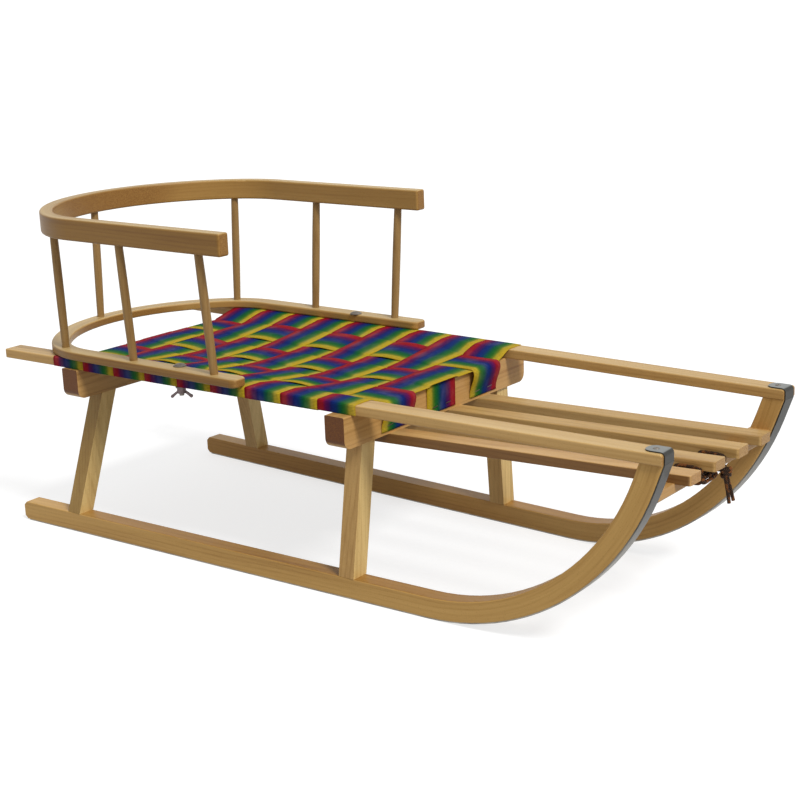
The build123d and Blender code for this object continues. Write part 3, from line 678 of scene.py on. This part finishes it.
def level(x, y):
    """The weave's middle: flat on the bolsters, hung from rail to rail in the free seat."""
    rail_z = RAIL_TOP + SKIN
    half = rail_in(x) + ON_RAIL
    field = LONG_Y[0] + CROSS_WIDTH / 2 - 3.0
    f = min(1.0, max(0.0, (abs(y) - field) / (half - field)))
    f = (1 - SMOOTH_RISE) * f + SMOOTH_RISE * smooth_share(f)
    flat = WOVEN_Z + (rail_z - WOVEN_Z) * f
    hung = rail_z - HANG * max(0.0, 1 - (y / half) ** 2)
    return flat + (hung - flat) * slack(x)


def width_share(column):
    """-1 to 1 over a strap's width."""
    return 2 * column / COLUMNS - 1


def ribbon(name, rows, flip=False):
    """A strap: rows of points along it, each row across it, half its thickness to each side."""
    count, wide = len(rows), len(rows[0])
    lengths = [0.0]
    for a, b in zip(rows, rows[1:]):
        lengths.append(lengths[-1] + (b[wide // 2] - a[wide // 2]).length)
    tops, bottoms = [], []
    for i in range(count):
        for j in range(wide):
            forth = rows[min(i + 1, count - 1)][j] - rows[max(i - 1, 0)][j]
            aside = rows[i][min(j + 1, wide - 1)] - rows[i][max(j - 1, 0)]
            share = 1.0 if 0 < j < wide - 1 else EDGE_SHARE
            half = forth.cross(aside).normalized() * (T / 2 * share * MM)
            tops.append(rows[i][j] + half)
            bottoms.append(rows[i][j] - half)
    base = len(tops)
    faces = []
    for i in range(count - 1):
        for j in range(wide - 1):
            a, b = i * wide + j, i * wide + j + 1
            c, d = a + wide, b + wide
            faces.append((a, c, d, b))
            faces.append((base + a, base + b, base + d, base + c))
        for j in (0, wide - 1):
            a, c = i * wide + j, (i + 1) * wide + j
            faces.append((a, base + a, base + c, c) if j == 0 else (a, c, base + c, base + a))
    for i in (0, count - 1):
        for j in range(wide - 1):
            a, b = i * wide + j, i * wide + j + 1
            faces.append((a, b, base + b, base + a) if i == 0 else (a, base + a, base + b, b))
    piece = mesh_piece(name, tops + bottoms, faces, webbing_material, smooth=True)
    layer = piece.data.uv_layers.new(name="strap")
    for loop in piece.data.loops:
        k = loop.vertex_index % base
        u = (k % wide) / (wide - 1)
        layer.data[loop.index].uv = (1 - u if flip else u, lengths[k // wide])
    return piece


def long_over(i, j):
    """Whether long strap j passes over cross strap i."""
    return (i + j) % 2 == 0


cross_rng = random.Random(5)
cross_twist = [cross_rng.uniform(0.7, 1.3) for _ in CROSS_X]
cross_slip = [cross_rng.uniform(-0.12, 0.12) for _ in CROSS_X]


def free_share(x, y):
    """1 in the field, 0 at the rail."""
    return 1 - smooth(abs(y), LONG_Y[0] + CROSS_WIDTH / 2 + 8.0, rail_in(x))


def cross_z(i, x, y, w):
    """Height of a cross strap at w across it: over and under the long straps, and lapped over
    the strap behind it where no long strap passes."""
    phase = 0.0
    for j, long_y in enumerate(LONG_Y):
        way = -1.0 if long_over(i, j) else 1.0
        phase += way * (1 - smooth(abs(y - long_y), *CHANGE))
    apart = min(abs(y - long_y) for long_y in LONG_Y)
    lap = -LAP * w * smooth(apart, *LAPPED)
    rise = LIFT + SWELL * slack(CROSS_X[i]) * (1 - w * w)
    return level(x, y) + rise * phase + lap * free_share(x, y)


def arc(cy, cz, radius, start, end, steps):
    return [(cy + radius * math.cos(a), cz + radius * math.sin(a))
            for a in (start + (end - start) * k / steps for k in range(steps + 1))]


def cross_rows(i):
    """Rows from under the left rail, round it, over the seat and round the right rail. The
    first and last strap end on the rail's side, over the bolster."""
    on_bolster = i in (0, len(CROSS_X) - 1)
    lines = []
    for c in range(COLUMNS + 1):
        w = width_share(c)
        x = CROSS_X[i] + w * CROSS_WIDTH / 2
        out, y0 = rail_out(x), rail_in(x) + ON_RAIL
        wrap = []
        if not on_bolster:
            wrap += [(out - UNDER_RAIL + (UNDER_RAIL - 1.4) * k / 4, RAIL_BOTTOM - SKIN)
                     for k in range(4)]
        wrap += arc(out - EDGE_LOW, RAIL_BOTTOM + EDGE_LOW, EDGE_LOW + SKIN,
                    -0.35 if on_bolster else -math.pi / 2, 0.0, 4)
        wrap += [(out + SKIN, RAIL_BOTTOM + EDGE_LOW
                  + (RAIL_TOP - RAIL_BOTTOM - EDGE_LOW - EDGE_TOP) * k / 4) for k in range(1, 4)]
        wrap += arc(out - EDGE_TOP, RAIL_TOP - EDGE_TOP, EDGE_TOP + SKIN, 0.0, math.pi / 2, 5)
        wrap += [(out - EDGE_TOP + (y0 - out + EDGE_TOP) * k / 6, RAIL_TOP + SKIN)
                 for k in range(1, 7)]
        woven = []
        for k in range(1, CROSS_STEPS):
            y = y0 - 2 * y0 * k / CROSS_STEPS
            crown = CROWN_CROSS * (1 - w * w) * cross_twist[i] * free_share(x, y)
            woven.append((y, cross_z(i, x, y, w) + crown))
        lines.append(wrap + woven + [(-y, z) for y, z in reversed(wrap)])
    rows = []
    for r in range(len(lines[0])):
        row = []
        for c in range(COLUMNS + 1):
            y, z = lines[c][r]
            free = 1 - smooth(abs(y), *FREE_Y)
            x = CROSS_X[i] + width_share(c) * (CROSS_WIDTH / 2 + 0.3 * free) + cross_slip[i] * free
            row.append(at(x, y, z))
        rows.append(row)
    return rows


def long_z(j, x):
    """Height of a long strap: a wave over and under the cross straps."""
    way = 1.0 if long_over(0, j) else -1.0
    wave = math.cos(math.pi * (x - CROSS_X[0]) / CROSS_PITCH)
    return level(x, LONG_Y[j]) + (LIFT + SWELL * slack(x)) * way * wave


def long_rows(j):
    """Rows from the rear bolster's back, over or under the cross straps, down the front bolster."""
    back = BOLSTER_BACK - BACK_GAP - T / 2
    face = BOLSTER_FACE + FACE_GAP + T / 2
    # Up the rear bolster's back and round its top edge, over or under cross strap 1.
    line = [(back, FOOT + 26.0 * k / 6) for k in range(7)]
    if long_over(0, j):
        edge = CROSS_X[0] - CROSS_WIDTH / 2
        line += [(back - 1.5, 219.0), (back - 8.0, 221.2), (edge + 3.0, 222.4),
                 (edge - 1.2, 224.0), (edge - 0.8, 226.2)]
        start = edge + 3.0
    else:
        line += [(back - 0.4, 219.5), (back - 2.0, 222.0)]
        start = back + 3.5
    # At the front bolster: x and radius of the turn down, height before it, and x it takes to
    # come to that height.
    if long_over(len(CROSS_X) - 1, j):
        end, bend = CROSS_X[-1] + CROSS_WIDTH / 2 - 3.5, 6.0
        last_z, run_out = WOVEN_Z + 1.2, 14
    else:
        end, bend = BOLSTER_FACE - 1.5, 2.6
        last_z, run_out = RAIL_BOTTOM + T / 2 + 0.15, 10
    for k in range(LONG_STEPS + 1):
        x = start + (end - start) * k / LONG_STEPS
        late = smooth(x, CROSS_X[-1], CROSS_X[-1] + run_out)
        line.append((x, long_z(j, x) * (1 - late) + last_z * late))
    side, top = end + bend, line[-1][1] - bend
    for a in quarter(8)[1:]:
        line.append((end + bend * math.sin(a), top + bend * math.cos(a)))
    for k in range(1, 13):
        f = k / 12
        line.append((side + (face - side) * smooth(f, 0.0, 0.9), top + (FOOT - top) * f))
    rows = []
    for x, z in line:
        row = []
        for c in range(COLUMNS + 1):
            w = width_share(c)
            crown = CROWN_LONG * (1 - w * w) * smooth(x, 140, 180) * smooth(-x, -530, -500)
            y = LONG_Y[j] + w * LONG_WIDTH / 2
            lean = HANG * slack(x) * (y ** 2 - LONG_Y[j] ** 2) / (rail_in(x) + ON_RAIL) ** 2
            row.append(at(x, y, z + crown + lean))
        rows.append(row)
    return rows


for i in range(len(CROSS_X)):
    piece = ribbon(f"webbing_cross_{i + 1}", cross_rows(i))
    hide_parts(f"cross_strap_{i + 1}")
for j in range(len(LONG_Y)):
    piece = ribbon(f"webbing_long_{j + 1}", long_rows(j), flip=True)
    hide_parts(f"long_strap_{j + 1}")


# ---------------------------------------------------------------- tow cord
def cord_material():
    """Dark braid with an orange fleck, and a painted highlight along its twist."""
    n = Nodes("cord_braid")
    place = n.place()
    x, y, z = n.xyz(place)
    twist = n.sine(n.mul(n.add(n.add(x, z), n.mul(y, 0.6)), 2600.0))
    fibre = n.noise(n.scaled(place, (900.0, 900.0, 900.0)), detail=2.0)
    patch = n.noise(n.scaled(place, (150.0, 150.0, 150.0)), detail=2.0)
    colour = n.blend(n.step(patch, 0.50, 0.58), (0.010, 0.007, 0.006), (0.17, 0.058, 0.014))
    # Painted highlight: paler brown along the ridges of the twist.
    colour = n.blend(n.step(twist, 0.2, 0.9, 0.0, 0.30), colour, (0.26, 0.11, 0.035))
    n.set("Base Color", colour)
    n.set("Roughness", 0.7)
    n.set("Specular IOR Level", 0.15)
    n.set("Normal", n.bump(n.add(twist, n.mul(fibre, 0.6)), 0.0003, 0.8))
    return n.material


CORD = 0.004                           # the cord's diameter
cord_braid = cord_material()


def round_curve(name, diameter, resolution):
    curve = bpy.data.curves.new(name, "CURVE")
    curve.dimensions = "3D"
    curve.bevel_depth = diameter / 2
    curve.bevel_resolution = 4
    curve.resolution_u = resolution
    curve.materials.append(cord_braid)
    return curve


def add_spline(curve, points):
    spline = curve.splines.new("NURBS")
    spline.points.add(len(points) - 1)
    for target, p in zip(spline.points, points):
        target.co = (*p, 1.0)
    spline.order_u = 3
    return spline


def cord_piece(name, points):
    curve = round_curve(name, CORD, 8)
    curve.use_fill_caps = True
    add_spline(curve, points).use_endpoint_u = True
    return place_piece(name, curve)


BAR_BACK, BAR_FRONT, BAR_LOW, BAR_TOP = 905.6, 930.6, 174.9, 187.2
BAR_GAP, BAR_GAP_TOP = 3.1, 2.2        # from the crossbar to the middle of the cord round it
BAR_CORNER = 3.2
LAYER_1, LAYER_2 = BAR_FRONT + 2.2, BAR_FRONT + 6.0      # x of the strands before the crossbar
KNOT = at(940.4, 1.5, 175.2)


def bar_turn(y0, y1, start_z):
    """One turn round the crossbar: down before it, under, up behind, over, and before it again."""
    x0, x1 = BAR_BACK - BAR_GAP, BAR_FRONT + BAR_GAP
    z0, z1 = BAR_LOW - BAR_GAP, BAR_TOP + BAR_GAP_TOP
    cut = BAR_CORNER
    points = [(x1, start_z), (x1, z0 + cut), (x1 - cut, z0), (x0 + cut, z0), (x0, z0 + cut),
              (x0, z1 - cut), (x0 + cut, z1), (x1 - cut, z1), (x1, z1 - cut)]
    return [at(x, y0 + (y1 - y0) * k / 8, z) for k, (x, z) in enumerate(points)]


def strand(layer, *points):
    """Points before the crossbar, each (distance before the layer, y, z)."""
    return [at(layer + dx, y, z) for dx, y, z in points]


def hanging(start, *steps):
    return [start] + [start + Vector(step) for step in steps]


route = [
    KNOT + Vector((-0.002, 0.002, 0.001)), at(936.0, 7.0, 177.5),
    *bar_turn(12.0, 12.2, 178.0),
    *strand(LAYER_1, (0.6, 8.0, 181.5), (0.0, -1.0, 181.6), (0.0, -22.0, 181.3),
            (0.0, -36.0, 181.6)),
    *bar_turn(-42.2, -42.0, 179.0),
    *strand(LAYER_1, (0.0, -37.0, 177.0), (0.0, -24.0, 177.4), (0.0, -15.0, 176.6)),
    *bar_turn(-12.2, -12.4, 174.8),
    *strand(LAYER_2, (-1.0, -17.0, 179.6), (0.0, -26.0, 179.2), (0.0, -36.0, 179.6),
            (-0.4, -43.5, 178.0), (-0.6, -45.4, 175.6), (0.0, -40.0, 173.6),
            (0.0, -28.0, 174.4), (-0.4, -16.0, 174.2)),
    *bar_turn(-8.0, -8.0, 174.4),
    *strand(LAYER_2, (-0.4, -5.0, 181.6), (1.6, -1.0, 178.4)),
]
tail_1 = hanging(KNOT + Vector((0.0, -0.0021, -0.0046)), (0.0016, 0.00075, -0.0096),
                 (0.0032, 0.0016, -0.0198), (0.0042, 0.0022, -0.0300))
tail_2 = hanging(KNOT + Vector((0.0, 0.0021, -0.0046)), (0.0016, 0.0020, -0.0089),
                 (0.0034, 0.0046, -0.0192), (0.0046, 0.0072, -0.0292))


def measured(piece):
    """Length of a curve's own line, from a thin copy of it."""
    line = piece.data.copy()
    line.bevel_depth = 0.0
    thin = bpy.data.objects.new("line", line)
    mesh = bpy.data.meshes.new_from_object(thin)
    points = [v.co.copy() for v in mesh.vertices]
    total = sum((b - a).length for a, b in zip(points, points[1:]))
    bpy.data.meshes.remove(mesh)
    bpy.data.objects.remove(thin)
    bpy.data.curves.remove(line)
    return total


def knot_piece():
    """The knot: three wraps pulled tight round the strands."""
    wraps = (((0.0046, 0.0050, 0.0), 0.0), ((0.0050, 0.0040, 0.0030), 1.1),
             ((0.0040, 0.0052, -0.0034), 2.2))
    curve = round_curve("tow_cord_knot_wraps", 0.0042, 6)
    for (rx, ry, dz), phase in wraps:
        angles = [2 * math.pi * k / 10 for k in range(10)]
        loop = [KNOT + Vector((rx * math.cos(a), ry * math.sin(a),
                               dz + 0.0013 * math.sin(a * 2 + phase))) for a in angles]
        add_spline(curve, loop).use_cyclic_u = True
    return place_piece("tow_cord_knot_wraps", curve)


windings = cord_piece("tow_cord_wound", route)
ends = [cord_piece("tow_cord_end_1", tail_1), cord_piece("tow_cord_end_2", tail_2)]
knot_wraps = knot_piece()
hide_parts("tow_cord_windings")
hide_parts("tow_cord_knot")
for k, piece in enumerate(ends):
    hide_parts(f"tow_cord_tail_{k + 1}")
measured(windings)
measured(ends[0])
measured(ends[1])

# ---------------------------------------------------------------- screws and staples
SCREW_X, SCREW_Y, TAB_TOP = 934.1, 139.9, 237.5    # the hole in each shoe's tab
SCREW_RADIUS, SCREW_CROWN, SCREW_RECESS = 3.5, 0.7, 0.9
STAPLE_HALF, STAPLE_THICK, STAPLE_LEG = 5.0, 0.75, 1.2
STAPLE_Z = 197.0                       # height of the staples on the bolsters
STAPLE_INSET = 9.0                     # from a rail's outer face to the staples under it
STAPLE_OFF_LONG, STAPLE_OFF_CROSS = 13.0, 12.0     # from a strap's middle to its two staples


def screw_head(name, centre):
    """A raised countersunk head with a round recess, standing on the level face under centre."""
    profile = [(SCREW_RECESS * 0.55, -SCREW_RECESS), (SCREW_RECESS, 0.30 * SCREW_CROWN + 0.25),
               (SCREW_RECESS + 0.35, SCREW_CROWN), (SCREW_RADIUS * 0.72, SCREW_CROWN * 0.74),
               (SCREW_RADIUS, 0.12), (SCREW_RADIUS, -0.10)]
    turns, rings = 28, len(profile)
    verts = [centre + Vector((r * math.cos(a), r * math.sin(a), h)) * MM
             for a in (2 * math.pi * k / turns for k in range(turns)) for r, h in profile]
    faces = []
    for k in range(turns):
        a, b = k * rings, ((k + 1) % turns) * rings
        for r in range(rings):
            q = (r + 1) % rings
            faces.append((a + r, a + q, b + q, b + r))
    mesh_piece(name, verts, faces, zinc, smooth=True)


def staple(name, middle, along, out):
    """The crown of a staple: a flat wire along the face, its two legs bent into it."""
    along, out = Vector(along).normalized(), Vector(out).normalized()
    side = along.cross(out)
    half, thick = STAPLE_HALF, STAPLE_THICK
    path = [(-half, -STAPLE_LEG), (-half, thick * 0.2), (-half + 0.5, thick * 0.5),
            (half - 0.5, thick * 0.5), (half, thick * 0.2), (half, -STAPLE_LEG)]
    verts, faces = [], []
    for a, h in path:
        for u, w in ((-0.5, -0.5), (0.5, -0.5), (0.5, 0.5), (-0.5, 0.5)):
            aside = side * (u * thick * 1.3)
            if abs(a) == half:
                deep = along * (w * thick * (-1 if a > 0 else 1))
            else:
                deep = out * (w * thick)
            verts.append(middle + (along * a + out * h + aside + deep) * MM)
    last = 4 * (len(path) - 1)
    for k in range(0, last, 4):
        for c in range(4):
            d = (c + 1) % 4
            faces.append((k + c, k + d, k + 4 + d, k + 4 + c))
    faces += [(3, 2, 1, 0), (last, last + 1, last + 2, last + 3)]
    mesh_piece(name, verts, faces, zinc_dull, smooth=False)


for name, side in SIDES:
    screw_head(f"shoe_screw_{name}", at(SCREW_X, side * SCREW_Y, TAB_TOP))
for j, y in enumerate(LONG_Y):
    for k, shift in enumerate((-STAPLE_OFF_LONG, STAPLE_OFF_LONG)):
        front = at(BOLSTER_FACE + FACE_GAP + T, y + shift, STAPLE_Z)
        rear = at(BOLSTER_BACK - BACK_GAP - T, y + shift, STAPLE_Z)
        staple(f"staple_front_{j + 1}_{k + 1}", front, (0, 1, 0.10), FORWARD)
        staple(f"staple_rear_{j + 1}_{k + 1}", rear, (0, 1, -0.08), (-1, 0, 0))
for i in range(1, 8):
    for name, side in SIDES:
        y = side * (rail_out(CROSS_X[i]) - STAPLE_INSET)
        for k, shift in enumerate((-STAPLE_OFF_CROSS, STAPLE_OFF_CROSS)):
            staple(f"staple_rail_{name}_{i}_{k + 1}",
                   at(CROSS_X[i] + shift, y, RAIL_BOTTOM - T), FORWARD, DOWN)

# ---------------------------------------------------------------- floor, world and light
WHITE = (1.0, 1.0, 1.0, 1.0)
FLOOR_GREY = (0.40, 0.40, 0.40, 1.0)
FLOOR_GLOW = 0.72                      # for camera and glossy rays only, so it lights nothing
FLOOR_REACH = 400.0
SOFT_LIGHT, SEEN_WHITE = 0.50, 1.0     # the world's strength as a light and as a background
SUN_TOWARDS, SUN_STRENGTH, SUN_ANGLE = (0.52, -0.15, 0.62), 2.35, math.radians(14)


def plain_floor():
    n = Nodes("floor")
    path = n.tree.nodes.new("ShaderNodeLightPath")
    seen = n.math("MAXIMUM", path.outputs["Is Camera Ray"], path.outputs["Is Glossy Ray"])
    glow = n.tree.nodes.new("ShaderNodeEmission")
    glow.inputs["Color"].default_value = WHITE
    n.put(glow.inputs["Strength"], n.mul(seen, FLOOR_GLOW))
    n.set("Base Color", FLOOR_GREY)
    n.set("Roughness", 0.9)
    n.set("Specular IOR Level", 0.0)
    both = n.tree.nodes.new("ShaderNodeAddShader")
    n.put(both.inputs[0], n.shader.outputs[0])
    n.put(both.inputs[1], glow.outputs[0])
    n.put(n.out.inputs[0], both.outputs[0])
    return n.material


floor_mesh = bpy.data.meshes.new("floor")
corners = [(x * FLOOR_REACH, y * FLOOR_REACH, 0) for x, y in ((-1, -1), (1, -1), (1, 1), (-1, 1))]
floor_mesh.from_pydata(corners, [], [(0, 1, 2, 3)])
floor_mesh.materials.append(plain_floor())
floor = bpy.data.objects.new("floor", floor_mesh)
bpy.context.scene.collection.objects.link(floor)

world = bpy.data.worlds.new("studio")
world.use_nodes = True
bpy.context.scene.world = world
tree = world.node_tree
tree.nodes.clear()
world_out = tree.nodes.new("ShaderNodeOutputWorld")
world_mix = tree.nodes.new("ShaderNodeMixShader")
tree.links.new(world_mix.outputs[0], world_out.inputs[0])
for k, strength in enumerate((SOFT_LIGHT, SEEN_WHITE)):
    background = tree.nodes.new("ShaderNodeBackground")
    background.inputs["Color"].default_value = WHITE
    background.inputs["Strength"].default_value = strength
    tree.links.new(background.outputs[0], world_mix.inputs[1 + k])
# Rays that see the background take the white, all others the soft light.
path = tree.nodes.new("ShaderNodeLightPath")
seen = path.outputs["Is Camera Ray"]
for ray in ("Is Glossy Ray", "Is Transmission Ray"):
    either = tree.nodes.new("ShaderNodeMath")
    either.operation = "MAXIMUM"
    tree.links.new(seen, either.inputs[0])
    tree.links.new(path.outputs[ray], either.inputs[1])
    seen = either.outputs[0]
tree.links.new(seen, world_mix.inputs[0])

sun_data = bpy.data.lights.new("key", "SUN")
sun_data.energy = SUN_STRENGTH
sun_data.angle = SUN_ANGLE
sun = bpy.data.objects.new("key", sun_data)
sun.rotation_euler = Vector(SUN_TOWARDS).to_track_quat("Z", "Y").to_euler()
bpy.context.scene.collection.objects.link(sun)
